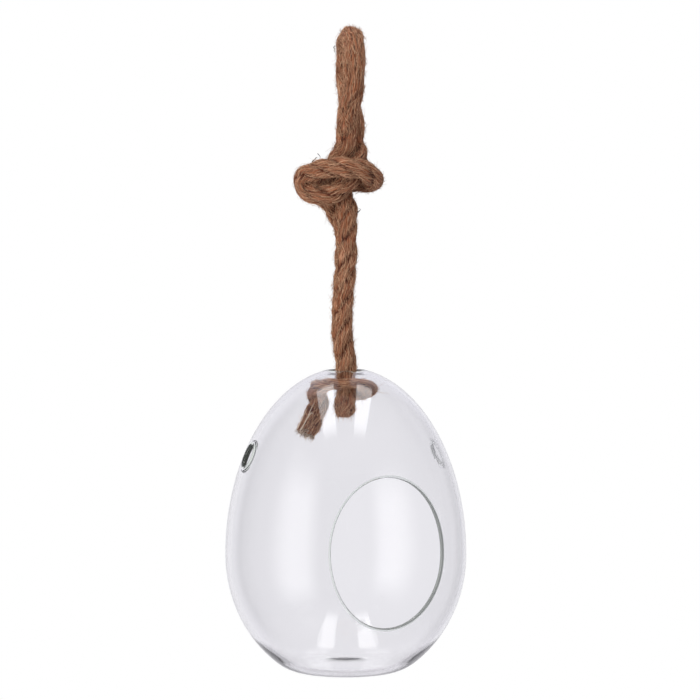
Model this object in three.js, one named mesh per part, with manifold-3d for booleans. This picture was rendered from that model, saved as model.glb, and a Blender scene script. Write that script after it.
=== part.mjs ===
// Hanging glass vase: an egg-shaped blown-glass vessel carried by a doubled jute rope.
// The rope makes a hanging loop, is hitched into a knot below it, runs down as two legs through
// the neck hole of the glass, and is knotted again inside so that the glass rests on the knot.
// Millimetres, +Z up. The origin is the point inside the top of the loop where a hook bears.
// The large opening of the glass faces -Y, and its two vents face nearly -X and +X.

import * as THREE from 'three';
import { mergeVertices } from 'three/addons/utils/BufferGeometryUtils.js';
import Module from 'manifold-3d';

// Glass vessel
const GLASS_DIAMETER = 133;
const SHOULDER_HEIGHT = 103; // half-height of the upper half-ellipse, from the widest level
const BASE_DEPTH = 65; // from the widest level down to the flat base
const BASE_CUT = 8; // height that the flat base takes off the lower half-ellipse
const BASE_EDGE = 5.5; // height over which the edge of the base is rounded
const WALL = 2.4;
const BASE_THICKNESS = 4;
const FLOOR_CUT = 8; // height that the flat floor takes off the half-ellipse inside
const OPENING_WIDTH = 65;
const OPENING_HEIGHT = 81.5;
const OPENING_RISE = 6; // centre of the opening above the widest level
const VENT_DIAMETER = 13;
const VENT_RISE = 55.5; // centre of each vent above the widest level
const VENT_TURN = -6.5; // degrees of both vents about the axis, from square to the opening

// Rope
const ROPE_DIAMETER = 12;
const LOOP_RADIUS = 21.5; // of the rope's centre line over the hook
const LOOP_SIDE_OFFSETS = [4.6, 0.4]; // sideways place of the front and rear side of the loop
const LOOP_LEAD = 3.5; // straight run of each side of the loop into the knot
const KNOT_HEIGHT = -72.6; // centre of the upper knot
const KNOT_ROPE = 11; // rope drawn tight in the upper knot
const LEG_WIDTH = 11.6; // the legs are pressed flat against each other
const LEG_DEPTH = 9.2;
const LEG_BOW = -1.8; // sideways, where the pair of legs hangs a little slack
const LEG_BOW_SPAN = [0.47, 0.7]; // shares of the legs' length, from the top, between which they bow
const STOPPER_ROPE = 10.6; // rope drawn tight in the stopper knot
const LOOP_TURN = -22.5; // degrees from the plane of the opening to the plane of the loop

// Fit
const HANG_DROP = 177; // from the hook down to the lip of the neck hole
const HOLE_CLEARANCE = 0.6; // between the pair of legs and the neck hole
const LEG_GAP = 0.4; // between the two legs
const FACE_GAP = 0.4; // where one stretch of rope goes on as the next
const SEAT_GAP = 0.3; // between the stopper knot and the inside of the glass
const STRAND_RISE = 3.6; // how far the stopper strands rise above the middle of its turn

// Fineness
const ROUND_STEPS = 72;
const SHOULDER_STEPS = 14;
const BELLY_STEPS = 10;
const EDGE_STEPS = 4;
const ROPE_SIDES = 10;
const ROPE_STEP = 3.6; // length of rope between two rings of its tube
const OPENING_STEPS = 48;

const GLASS_COLOUR = 0xe3e4ea;
const JUTE_COLOUR = 0x96694f;

const outerRadius = GLASS_DIAMETER / 2;
const innerRadius = outerRadius - WALL;
const innerShoulder = SHOULDER_HEIGHT - WALL;
const bellyDepth = BASE_DEPTH + BASE_CUT;
const floorDepth = BASE_DEPTH - BASE_THICKNESS;
const innerBelly = floorDepth + FLOOR_CUT;
const holeRadius = LEG_DEPTH + LEG_GAP / 2 + HOLE_CLEARANCE;
const lipRadius = holeRadius + WALL / 2;

// Height of a half-ellipse at a radius, and its radius at a height
const ellipseHeight = (radius, width, height) => height * Math.sqrt(1 - (radius / width) ** 2);
const ellipseRadius = (height, width, tall) => width * Math.sqrt(1 - (height / tall) ** 2);

const widestLevel = -HANG_DROP - ellipseHeight(lipRadius, outerRadius, SHOULDER_HEIGHT);

const wasm = await Module();
wasm.setup();

function toSolid(geometry) {
  const bare = new THREE.BufferGeometry();
  bare.setAttribute('position', geometry.getAttribute('position').clone());
  bare.setIndex(geometry.getIndex());
  const merged = mergeVertices(bare, 1e-4);
  const corners = merged.getIndex().array;
  const kept = [];
  for (let i = 0; i < corners.length; i += 3) {
    const [a, b, c] = corners.slice(i, i + 3);
    if (a !== b && b !== c && c !== a) kept.push(a, b, c);
  }
  return new wasm.Manifold(
    new wasm.Mesh({
      numProp: 3,
      vertProperties: Float32Array.from(merged.getAttribute('position').array),
      triVerts: Uint32Array.from(kept),
    }),
  );
}

function toGeometry(solid) {
  const mesh = solid.getMesh();
  const geometry = new THREE.BufferGeometry();
  geometry.setAttribute('position', new THREE.BufferAttribute(mesh.vertProperties, 3));
  geometry.setIndex(new THREE.BufferAttribute(mesh.triVerts, 1));
  geometry.computeVertexNormals();
  return geometry;
}

// Points of a half-ellipse from one height to another, evenly spread over its turn
function ellipseArc(from, to, width, tall, steps) {
  const start = Math.asin(from / tall);
  const end = Math.asin(to / tall);
  return Array.from({ length: steps + 1 }, (_, i) => {
    const turn = start + ((end - start) * i) / steps;
    return new THREE.Vector2(width * Math.cos(turn), tall * Math.sin(turn));
  });
}

// Wall of the vessel, from the middle of its base up the outside, over the lip and down the inside
function vesselProfile() {
  const innerLip = ellipseHeight(lipRadius, innerRadius, innerShoulder);
  const outerLip = ellipseHeight(lipRadius, outerRadius, SHOULDER_HEIGHT);
  const lipMiddle = (outerLip + innerLip) / 2;
  const lipHalf = (outerLip - innerLip) / 2;
  const lip = [1 / 4, 1 / 2, 3 / 4].map((part) => {
    const turn = Math.PI * part;
    return new THREE.Vector2(lipRadius - (WALL / 2) * Math.sin(turn), lipMiddle + lipHalf * Math.cos(turn));
  });
  const edgeTop = BASE_EDGE - BASE_DEPTH;
  const edgeRadius = ellipseRadius(edgeTop, outerRadius, bellyDepth);
  const fall = ((bellyDepth / outerRadius) ** 2 * edgeRadius) / -edgeTop;
  const corner = new THREE.Vector2(edgeRadius - BASE_EDGE / fall, -BASE_DEPTH);
  const edgeEnd = new THREE.Vector2(edgeRadius, edgeTop);
  const flat = new THREE.Vector2(corner.x - edgeEnd.distanceTo(corner), -BASE_DEPTH);
  return [
    new THREE.Vector2(0, -BASE_DEPTH),
    ...new THREE.QuadraticBezierCurve(flat, corner, edgeEnd).getPoints(EDGE_STEPS),
    ...ellipseArc(edgeTop, 0, outerRadius, bellyDepth, BELLY_STEPS).slice(1),
    ...ellipseArc(0, outerLip, outerRadius, SHOULDER_HEIGHT, SHOULDER_STEPS).slice(1),
    ...lip,
    ...ellipseArc(innerLip, 0, innerRadius, innerShoulder, SHOULDER_STEPS),
    ...ellipseArc(0, -floorDepth, innerRadius, innerBelly, BELLY_STEPS).slice(1),
    new THREE.Vector2(0, -floorDepth),
  ];
}

// A vent is bored square to the wall, so its axis tilts up as the wall leans in
function ventCutter(side) {
  const radius = ellipseRadius(VENT_RISE, outerRadius, SHOULDER_HEIGHT);
  const tilt = Math.atan2(VENT_RISE / SHOULDER_HEIGHT ** 2, radius / outerRadius ** 2);
  const length = 6 * WALL;
  const cutter = new THREE.CylinderGeometry(VENT_DIAMETER / 2, VENT_DIAMETER / 2, length, ROUND_STEPS / 2);
  cutter.rotateZ(side * (tilt - Math.PI / 2));
  cutter.rotateX(Math.PI / 2);
  cutter.translate(side * radius, 0, VENT_RISE);
  cutter.rotateZ(THREE.MathUtils.degToRad(VENT_TURN));
  return toSolid(cutter);
}

function openingCutter() {
  const outline = new THREE.Shape();
  outline.absellipse(0, 0, OPENING_WIDTH / 2, OPENING_HEIGHT / 2, 0, 2 * Math.PI, false, 0);
  const cutter = new THREE.ExtrudeGeometry(outline, {
    depth: GLASS_DIAMETER,
    bevelEnabled: false,
    curveSegments: OPENING_STEPS / 2,
  });
  cutter.rotateX(Math.PI / 2);
  cutter.translate(0, 0, OPENING_RISE);
  return toSolid(cutter);
}

function makeVessel() {
  const wall = new THREE.LatheGeometry(vesselProfile(), ROUND_STEPS);
  wall.rotateX(Math.PI / 2);
  const cut = toSolid(wall).subtract(openingCutter()).subtract(ventCutter(-1)).subtract(ventCutter(1));
  const material = new THREE.MeshStandardMaterial({
    color: GLASS_COLOUR,
    roughness: 0.03,
    metalness: 0,
    transparent: true,
    opacity: 0.35,
  });
  const vessel = new THREE.Mesh(toGeometry(cut), material);
  vessel.name = 'glass_vessel';
  vessel.position.z = widestLevel;
  return vessel;
}

const jute = new THREE.MeshStandardMaterial({ color: JUTE_COLOUR, roughness: 0.95, metalness: 0 });

// A stretch of rope: an oval section carried along a smooth curve through the points
function makeRope(name, points, width, depth = width) {
  const curve = new THREE.CatmullRomCurve3(points);
  const section = new THREE.Shape(
    Array.from({ length: ROPE_SIDES }, (_, i) => {
      const turn = (2 * Math.PI * (i + 0.5)) / ROPE_SIDES;
      return new THREE.Vector2((depth / 2) * Math.cos(turn), (width / 2) * Math.sin(turn));
    }),
  );
  const geometry = new THREE.ExtrudeGeometry(section, {
    steps: Math.ceil(curve.getLength() / ROPE_STEP),
    extrudePath: curve,
    bevelEnabled: false,
  });
  const rope = new THREE.Mesh(geometry, jute.clone());
  rope.name = name;
  return rope;
}

// Points written in rope diameters from a knot's centre
const inKnot = (offsets, centre, diameter) =>
  offsets.map((offset) => new THREE.Vector3(...offset).multiplyScalar(diameter).add(centre));

const lifted = (point, height) => point.clone().add(new THREE.Vector3(0, 0, height));

// Upper knot, in rope diameters: +x to the right of the loop's plane, +y to its rear side.
// One strand comes from the rear side of the loop, crosses in front of the other, turns back over
// itself at the left, wraps round at the right and leaves behind. The other runs straight through.
const HITCH = [
  [0.42, 0.62, 2],
  [0.42, 0.62, 1.74],
  [0.6, 0.5, 1.36],
  [0.63, 0.02, 0.86],
  [0.38, -0.58, 0.3],
  [-0.08, -0.88, -0.3],
  [-0.7, -0.98, -0.7],
  [-1.46, -0.84, -0.72],
  [-1.96, -0.7, -0.5],
  [-2.15, -0.64, -0.12],
  [-1.98, -0.74, 0.22],
  [-1.56, -1, 0.42],
  [-0.86, -1.5, 0.58],
  [0.04, -1.84, 0.6],
  [0.88, -1.66, 0.44],
  [1.34, -1, 0.12],
  [1.37, -0.15, -0.04],
  [1, 0.72, -0.1],
  [0.4, 1.24, -0.06],
  [-0.36, 1.42, 0.06],
  [-0.9, 1.33, 0.02],
  [-1.15, 1.12, -0.32],
  [-1, 1, -0.8],
  [-0.64, 0.92, -1.3],
  [-0.4, 0.8, -1.78],
  [-0.22, 0.66, -2.16],
  [-0.1, 0.57, -2.44],
  [-0.05, 0.54, -2.66],
  [-0.05, 0.54, -2.86],
];
const KNOT_CORE = [
  [0.02, -0.58, 2],
  [0.02, -0.58, 1.74],
  [-0.33, -0.2, 1.22],
  [-0.48, 0.24, 0.62],
  [-0.45, 0.36, 0.05],
  [-0.2, 0.24, -0.6],
  [0.06, -0.1, -1.3],
  [0.1, -0.44, -2],
  [0.05, -0.53, -2.5],
  [0.05, -0.53, -2.86],
];

// Stopper knot, in rope diameters from the middle of the pair of legs at the height of its turn.
// The rear leg turns round the front one from right to left and leaves as a tail to the left.
const STOPPER_TURN = [
  [0, 0.52, 0.04],
  [0.24, 0.74, -0.3],
  [0.8, 0.86, -0.34],
  [1.14, 0.28, -0.2],
  [1.1, -0.52, -0.08],
  [0.76, -1.28, -0.01],
  [0, -1.58, 0],
  [-0.78, -1.32, -0.01],
  [-1.38, -0.6, -0.06],
  [-1.5, 0.12, -0.36],
  [-1.44, 0.4, -0.8],
  [-1.6, 0.42, -1.3],
  [-1.84, 0.38, -1.82],
  [-2.08, 0.32, -2.34],
];
const STOPPER_CORE = [
  [0, -0.52, 0],
  [0, -0.45, -0.4],
  [-0.06, -0.25, -0.85],
  [-0.08, -0.2, -1.18],
  [-0.08, -0.2, -1.48],
];

// Height of the stopper knot's turn, which bears on the inside of the glass at its front
function turnHeight() {
  const reach = -Math.min(...STOPPER_TURN.map((point) => point[1])) * STOPPER_ROPE;
  const rise = ellipseHeight(reach, innerRadius, innerShoulder);
  const slope = Math.atan(((innerShoulder / innerRadius) ** 2 * reach) / rise);
  const contact = reach + (STOPPER_ROPE / 2) * Math.sin(slope);
  const glass = widestLevel + ellipseHeight(contact, innerRadius, innerShoulder);
  return glass - (STOPPER_ROPE / 2) * Math.cos(slope) - SEAT_GAP;
}

// Rope loop: half a turn over the hook, then two sides that close in to the upper knot
function loopPoints(frontEnd, rearEnd) {
  const middle = ROPE_DIAMETER / 2 - LOOP_RADIUS;
  const [frontX, rearX] = LOOP_SIDE_OFFSETS;
  const side = (end, x, y) => {
    const lead = lifted(end, LOOP_LEAD);
    const closing = [0, 0.2, 0.4, 0.6, 0.8, 1].map((part) => {
      const ease = (1 + Math.cos(Math.PI * part)) / 2;
      return new THREE.Vector3(
        end.x + (x - end.x) * ease,
        end.y + (y - end.y) * ease,
        middle + (lead.z - middle) * part,
      );
    });
    return [...closing, end];
  };
  const bight = [1 / 6, 1 / 3, 1 / 2, 2 / 3, 5 / 6].map((part) => {
    const turn = Math.PI * part;
    const x = THREE.MathUtils.lerp(frontX, rearX, THREE.MathUtils.smoothstep(part, 0.25, 0.75));
    return new THREE.Vector3(x, -LOOP_RADIUS * Math.cos(turn), middle + LOOP_RADIUS * Math.sin(turn));
  });
  return [
    ...side(frontEnd, frontX, -LOOP_RADIUS).reverse(),
    ...bight,
    ...side(rearEnd, rearX, LOOP_RADIUS),
  ];
}

const knotCentre = new THREE.Vector3(0, 0, KNOT_HEIGHT);
const hitch = inKnot(HITCH, knotCentre, KNOT_ROPE);
const knotCore = inKnot(KNOT_CORE, knotCentre, KNOT_ROPE);

const turnCentre = new THREE.Vector3(0, 0, turnHeight());
const legSpread = (LEG_DEPTH + LEG_GAP) / 2;
const strandSpread = (STOPPER_ROPE + LEG_GAP) / 2;
const strandTop = turnCentre.z + STRAND_RISE;
const stopperTurn = [
  new THREE.Vector3(0, strandSpread, strandTop),
  ...inKnot(STOPPER_TURN, turnCentre, STOPPER_ROPE),
];
const stopperCore = [
  new THREE.Vector3(0, -strandSpread, strandTop),
  ...inKnot(STOPPER_CORE, turnCentre, STOPPER_ROPE),
];

function legPoints(knotEnd, y) {
  const top = new THREE.Vector3(knotEnd.x, y, knotEnd.z - FACE_GAP);
  const bottom = new THREE.Vector3(0, y, strandTop + FACE_GAP);
  const bowed = LEG_BOW_SPAN.map(
    (share) => new THREE.Vector3(LEG_BOW, y, THREE.MathUtils.lerp(top.z, bottom.z, share)),
  );
  return [top, lifted(top, -LEG_WIDTH), ...bowed, lifted(bottom, LEG_WIDTH), bottom];
}

// Least clear gap between two stretches of rope, or of one with itself past a half turn of rope
function leastGap(name, pointsA, pointsB, diameter) {
  const spots = (points) => {
    const curve = new THREE.CatmullRomCurve3(points);
    return curve.getSpacedPoints(Math.ceil(curve.getLength()));
  };
  const a = spots(pointsA);
  const b = spots(pointsB);
  const apart = pointsA === pointsB ? Math.ceil((Math.PI / 2) * diameter) : 0;
  let least = Infinity;
  a.forEach((spot, i) =>
    b.forEach((other, j) => {
      if (apart === 0 || Math.abs(i - j) > apart) least = Math.min(least, spot.distanceTo(other));
    }),
  );
  console.log(`${name}: least gap ${(least - diameter).toFixed(2)} mm`);
}
leastGap('hitch to itself', hitch, hitch, KNOT_ROPE);
leastGap('hitch to core', hitch, knotCore, KNOT_ROPE);
leastGap('stopper turn to itself', stopperTurn, stopperTurn, STOPPER_ROPE);
leastGap('stopper turn to core', stopperTurn, stopperCore, STOPPER_ROPE);

const rope = new THREE.Group();
rope.rotation.z = THREE.MathUtils.degToRad(LOOP_TURN);
rope.add(
  makeRope('hanging_loop', loopPoints(lifted(knotCore[0], FACE_GAP), lifted(hitch[0], FACE_GAP)), ROPE_DIAMETER),
  makeRope('knot_hitch', hitch, KNOT_ROPE),
  makeRope('knot_core', knotCore, KNOT_ROPE),
  makeRope('front_leg', legPoints(knotCore.at(-1), -legSpread), LEG_WIDTH, LEG_DEPTH),
  makeRope('rear_leg', legPoints(hitch.at(-1), legSpread), LEG_WIDTH, LEG_DEPTH),
  makeRope('stopper_turn', stopperTurn, STOPPER_ROPE),
  makeRope('stopper_core', stopperCore, STOPPER_ROPE),
);

const vase = new THREE.Group();
vase.add(makeVessel(), rope);

export default vase;
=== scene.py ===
import math

import bmesh
import bpy
import numpy as np
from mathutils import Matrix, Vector


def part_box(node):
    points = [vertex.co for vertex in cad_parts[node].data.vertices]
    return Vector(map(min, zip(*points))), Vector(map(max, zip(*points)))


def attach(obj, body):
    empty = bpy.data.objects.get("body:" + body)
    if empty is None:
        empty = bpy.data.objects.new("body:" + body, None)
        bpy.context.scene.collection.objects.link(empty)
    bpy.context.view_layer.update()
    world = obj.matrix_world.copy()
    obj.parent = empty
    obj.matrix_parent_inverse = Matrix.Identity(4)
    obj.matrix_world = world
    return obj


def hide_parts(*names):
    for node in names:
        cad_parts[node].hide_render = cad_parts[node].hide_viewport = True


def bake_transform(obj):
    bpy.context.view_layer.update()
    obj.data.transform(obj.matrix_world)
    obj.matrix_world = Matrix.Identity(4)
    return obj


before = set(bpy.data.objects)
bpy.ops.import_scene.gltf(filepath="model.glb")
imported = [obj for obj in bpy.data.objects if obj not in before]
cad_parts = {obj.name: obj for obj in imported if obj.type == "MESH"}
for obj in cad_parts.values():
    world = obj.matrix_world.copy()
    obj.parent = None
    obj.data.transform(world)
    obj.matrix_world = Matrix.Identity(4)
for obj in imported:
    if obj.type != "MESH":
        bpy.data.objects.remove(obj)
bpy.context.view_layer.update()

# Hanging glass vase: a clear blown-glass egg carried on a knotted, doubled jute rope.
# Lengths are in millimetres until a mesh or a light is made, which is in metres.
MM = 0.001
SEED = 20
draw = np.random.default_rng(SEED)


def linear(hex_colour):
    """sRGB hex value to linear RGBA."""
    parts = np.array([int(hex_colour[i:i + 2], 16) for i in (1, 3, 5)]) / 255
    curved = ((parts + 0.055) / 1.055) ** 2.4
    return (*np.where(parts <= 0.04045, parts / 12.92, curved).tolist(), 1.0)


def add(tree, kind, inputs=None, **settings):
    """Adds a shader node with its settings; inputs maps a socket to a value or another node's output."""
    node = tree.nodes.new("ShaderNode" + kind)
    for name, value in settings.items():
        setattr(node, name, value)
    for socket, value in (inputs or {}).items():
        if isinstance(value, bpy.types.NodeSocket):
            tree.links.new(value, node.inputs[socket])
        else:
            node.inputs[socket].default_value = value
    return node


def new_material(name, inputs):
    """A material with these inputs of its main shader set; gives the material, its tree and the shader."""
    material = bpy.data.materials.new(name)
    material.use_nodes = True
    shader = material.node_tree.nodes["Principled BSDF"]
    for socket, value in inputs.items():
        shader.inputs[socket].default_value = value
    return material, material.node_tree, shader


def shade_ramp(ramp, shades):
    """Gives a colour ramp its marks, from pairs of a position and an sRGB hex value."""
    marks = ramp.color_ramp.elements
    for mark, (position, shade) in zip(list(marks), (shades[0], shades[-1])):
        mark.position = position
        mark.color = linear(shade)
    for position, shade in shades[1:-1]:
        marks.new(position).color = linear(shade)


def unit(vectors):
    """Vectors along the last axis, brought to length 1."""
    return vectors / np.maximum(np.linalg.norm(vectors, axis=-1, keepdims=True), 1e-9)


def ease(value):
    """Smooth step from 0 to 1 as the value goes from 0 to 1."""
    t = np.clip(value, 0, 1)
    return t * t * (3 - 2 * t)


def new_object(name, data):
    """An object of the scene with this mesh, light or camera."""
    made = bpy.data.objects.new(name, data)
    bpy.context.scene.collection.objects.link(made)
    return made


def rotated(angle, first, second):
    """The first direction turned by an angle to the second: cosine of the one plus sine of the other."""
    return np.cos(angle) * first + np.sin(angle) * second


def quads(rings):
    """Quads between rings of point numbers, each ring joined all round to the next one."""
    near, far = rings[..., :-1, :], rings[..., 1:, :]
    return np.stack([near, np.roll(near, -1, -1), np.roll(far, -1, -1), far], axis=-1)


def make_piece(name, points, faces, material, slot, **attributes):
    """A smooth mesh at the origin from points in mm, with its own attributes, one value a point."""
    mesh = bpy.data.meshes.new(name)
    mesh.from_pydata((points * MM).tolist(), [], faces)
    mesh.polygons.foreach_set("use_smooth", np.ones(len(faces), bool))
    for key, values in attributes.items():
        wide = values.ndim == 2
        attribute = mesh.attributes.new(key, "FLOAT_VECTOR" if wide else "FLOAT", "POINT")
        attribute.data.foreach_set("vector" if wide else "value", values.astype(np.float32).ravel())
    mesh.materials.append(material)
    made = new_object(name, mesh)
    return made


# Camera, at the photograph's angle
PHOTO_AZIMUTH = math.radians(-22.5)
PHOTO_ELEVATION = math.radians(2.3)
CAMERA_DISTANCE = 1600
AIM_HEIGHT = -166
AIM_SIDE = 2.3
LENS = 149.4
SENSOR = 36

camera_side = Vector((math.sin(PHOTO_AZIMUTH), -math.cos(PHOTO_AZIMUTH), 0))
camera_right = Vector((math.cos(PHOTO_AZIMUTH), math.sin(PHOTO_AZIMUTH), 0))
back = camera_side * math.cos(PHOTO_ELEVATION) + Vector((0, 0, math.sin(PHOTO_ELEVATION)))
aim = camera_right * AIM_SIDE + Vector((0, 0, AIM_HEIGHT))
camera = new_object("camera", bpy.data.cameras.new("camera"))
camera.data.lens = LENS
camera.data.sensor_width = SENSOR
camera.location = (aim + back * CAMERA_DISTANCE) * MM
camera.rotation_mode = "QUATERNION"
camera.rotation_quaternion = (-back).to_track_quat("-Z", "Y")
bpy.context.scene.camera = camera


def laid_jute():
    """Jute, retted bast fibre spun and laid up: matt and streaked along the yarn, with painted shade in the
    creases, in the slits between fibres and in the eye of the upper knot, and olive grey towards the long
    cut tail."""
    material, tree, shader = new_material("laid_jute", {
        "Roughness": 0.92, "Specular IOR Level": 0.25, "Sheen Weight": 0.12, "Sheen Roughness": 0.5})
    fibre, deep, worn = [add(tree, "Attribute", attribute_name=name)
                         for name in ("fibre", "deep", "worn")]
    place = add(tree, "TexCoord")
    # Waves per metre along and across the yarn, each pattern from its own start: fibre bundles about 9 mm
    # long and 0.6 mm wide, finer ones of 5 by 0.3 mm, and slits of 5 by 0.6 mm that carry painted shade
    ways = [
        add(tree, "Mapping", {
            "Vector": fibre.outputs["Vector"], "Location": (shift, 0, 0), "Scale": (along, across, across)})
        for shift, along, across in ((0, 110, 1700), (3, 200, 3300), (7, 190, 1600))]
    bundle, strand, slit = [
        add(tree, "TexNoise", {"Vector": way.outputs[0], "Scale": 1.0, "Detail": 2.0}) for way in ways]
    # Patches of about 12 mm where the stalks were riper or paler
    patch = add(tree, "TexNoise", {"Vector": place.outputs["Object"], "Scale": 85.0, "Detail": 2.0})
    tone = add(tree, "ValToRGB", {"Fac": bundle.outputs["Fac"]})
    shade_ramp(tone, [(0.36, "#975b3c"), (0.5, "#be7d59"), (0.64, "#dfab8b")])
    fine = add(tree, "ValToRGB", {"Fac": strand.outputs["Fac"]})
    shade_ramp(fine, [(0.36, "#96877e"), (0.6, "#ffffff")])
    streaked = add(tree, "Mix", {"Factor": 0.8, 6: tone.outputs[0], 7: fine.outputs[0]},
                   data_type="RGBA", blend_type="MULTIPLY")
    patchy = add(tree, "MapRange", {"Value": patch.outputs["Fac"], "To Max": 0.7})
    # Painted shade: where the slit pattern is lowest the colour darkens, as gaps between fibres lie in
    # shade
    lowest = {"Value": slit.outputs["Fac"], "From Min": 0.4, "From Max": 0.33, "To Max": 0.68}
    slit_shade = add(tree, "MapRange", lowest)
    painted_shade_share = add(tree, "Math", {0: deep.outputs["Fac"], 1: slit_shade.outputs[0]}, operation="MAXIMUM")
    # Patches, then olive grey towards the long tail's end, then painted shade in the creases, slits and
    # knot's eye
    shade = streaked
    for share, tint, blend in ((patchy.outputs[0], "#b3724e", "MIX"),
                               (worn.outputs["Fac"], "#c9d2c8", "MULTIPLY"),
                               (painted_shade_share.outputs[0], "#512315", "MIX")):
        shade = add(tree, "Mix", {"Factor": share, 6: shade.outputs[2], 7: linear(tint)},
                    data_type="RGBA", blend_type=blend)
    both = add(tree, "Math", {0: bundle.outputs["Fac"], 1: strand.outputs["Fac"]}, operation="ADD")
    # Ridges of up to a quarter of a millimetre
    relief = add(tree, "Bump", {"Height": both.outputs[0], "Strength": 0.8, "Distance": 0.00025})
    tree.links.new(shade.outputs[2], shader.inputs["Base Color"])
    tree.links.new(relief.outputs[0], shader.inputs["Normal"])
    return material


def loose_jute(name, dark, pale):
    """Single jute fibres: thin, matt, each of its own tone between dark and pale."""
    material, tree, shader = new_material(name, {"Roughness": 0.8, "Specular IOR Level": 0.3})
    own = add(tree, "Attribute", attribute_name="own")
    tone = add(tree, "Mix", {"Factor": own.outputs["Fac"], 6: linear(dark), 7: linear(pale)},
               data_type="RGBA")
    tree.links.new(tone.outputs[2], shader.inputs["Base Color"])
    return material


def blown_glass(name, colour, clear, roughness):
    """Soda-lime glass, mouth-blown: clear walls, fire-polished edges that stay clear and show dark and
    greenish, and painted light on the edges of the opening and the right vent, which scatter part of the
    light and so show paler than clear glass would."""
    return new_material(name, {"Base Color": linear(colour), "Transmission Weight": clear,
                               "Roughness": roughness, "IOR": 1.5})[0]


JUTE = laid_jute()
LOOSE = loose_jute("loose_jute_fibre", "#7d482a", "#efc19c")
CUT = loose_jute("cut_jute_fibre", "#8c6a50", "#ead7c2")
BLEACHED = loose_jute("bleached_jute_fibre", "#d3bda6", "#f0e3d2")
DARK = loose_jute("dark_jute_fibre", "#1f1815", "#43332a")
GLASS = blown_glass("blown_glass", "#fefefe", 1.0, 0.0)
EDGE_GLASS = blown_glass("fire_polished_edge", "#dfeada", 0.93, 0.0)
# Painted light: paler glass that scatters part of the light, on the rims of the opening and the right vent
PALE_OPENING_RIM_GLASS = blown_glass("opening_rim_painted_pale", "#eef3ef", 0.64, 0.05)
PALE_VENT_RIM_GLASS = blown_glass("right_vent_rim_painted_pale", "#f4f6f6", 0.35, 0.1)

# Line of the rope, in the rope's own frame: x to the right of the loop's plane, y to its rear, z up
LOOP_TURN = PHOTO_AZIMUTH
ROPE_DIAMETER = 12
LOOP_RADIUS = 21.5
LOOP_SIDE_OFFSETS = (4.6, 0.4)
LOOP_LEAD = 3.5
KNOT_HEIGHT = -72.6
KNOT_ROPE = 11
LEG_WIDTH = 11.6
LEG_DEPTH = 9.2
LEG_GAP = 0.4
LEG_BOW = -1.8
LEG_BOW_SPAN = (0.47, 0.7)
STOPPER_ROPE = 10.6
STRAND_RISE = 3.6
STATION = 0.7
SIDE_POINTS = 6
ARCH_STEPS = 6
# Shares of the arch at which the loop leaves one side's place, and over which it comes to the other's
ARCH_SHIFT = (0.25, 0.5)

# Upper knot and stopper knot, in rope diameters from each knot's centre
HITCH = np.array([
    [0.42, 0.62, 2], [0.42, 0.62, 1.74], [0.6, 0.5, 1.36], [0.63, 0.02, 0.86], [0.38, -0.58, 0.3],
    [-0.08, -0.88, -0.3], [-0.7, -0.98, -0.7], [-1.46, -0.84, -0.72], [-1.96, -0.7, -0.5],
    [-2.15, -0.64, -0.12], [-1.98, -0.74, 0.22], [-1.56, -1, 0.42], [-0.86, -1.5, 0.58],
    [0.04, -1.84, 0.6], [0.88, -1.66, 0.44], [1.34, -1, 0.12], [1.37, -0.15, -0.04],
    [1, 0.72, -0.1], [0.4, 1.24, -0.06], [-0.36, 1.42, 0.06], [-0.9, 1.33, 0.02],
    [-1.15, 1.12, -0.32], [-1, 1, -0.8], [-0.64, 0.92, -1.3], [-0.4, 0.8, -1.78],
    [-0.22, 0.66, -2.16], [-0.1, 0.57, -2.44], [-0.05, 0.54, -2.66],
])
KNOT_CORE = np.array([
    [0.02, -0.58, 2], [0.02, -0.58, 1.74], [-0.33, -0.2, 1.22], [-0.48, 0.24, 0.62],
    [-0.45, 0.36, 0.05], [-0.2, 0.24, -0.6], [0.06, -0.1, -1.3], [0.1, -0.44, -2],
    [0.05, -0.53, -2.5],
])
STOPPER_TURN = np.array([
    [0, 0.52, 0.04], [0.24, 0.74, -0.3], [0.8, 0.86, -0.34], [1.14, 0.28, -0.2], [1.1, -0.52, -0.08],
    [0.76, -1.28, -0.01], [0, -1.58, 0], [-0.78, -1.32, -0.01], [-1.38, -0.6, -0.06],
    [-1.5, 0.12, -0.36], [-1.44, 0.4, -0.8], [-1.6, 0.42, -1.3], [-1.84, 0.38, -1.82],
    [-2.08, 0.32, -2.34],
])
STOPPER_CORE = np.array([
    [0, -0.52, 0], [0, -0.45, -0.4], [-0.06, -0.25, -0.85], [-0.08, -0.2, -1.18], [-0.08, -0.2, -1.48],
])
SAMPLES = 40

knot_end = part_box("knot_core")[0][2] / MM
strand_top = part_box("stopper_core")[1][2] / MM
turn_height = strand_top - STRAND_RISE
leg_spread = (LEG_DEPTH + LEG_GAP) / 2


def in_knot(offsets, height, diameter):
    """Points of a knot in mm, from offsets in rope diameters."""
    return offsets * diameter + np.array([0, 0, height])


def loop_side(end, x, y):
    """One side of the loop closing in on the knot: half a cosine wave from its widest to its end."""
    middle = ROPE_DIAMETER / 2 - LOOP_RADIUS
    part = np.linspace(0, 1, SIDE_POINTS)[:, None]
    swing = (1 + np.cos(np.pi * part)) / 2
    closing = end[:2] + (np.array([x, y]) - end[:2]) * swing
    level = middle + (end[2] + LOOP_LEAD - middle) * part
    return np.vstack([np.hstack([closing, level]), end])


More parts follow.
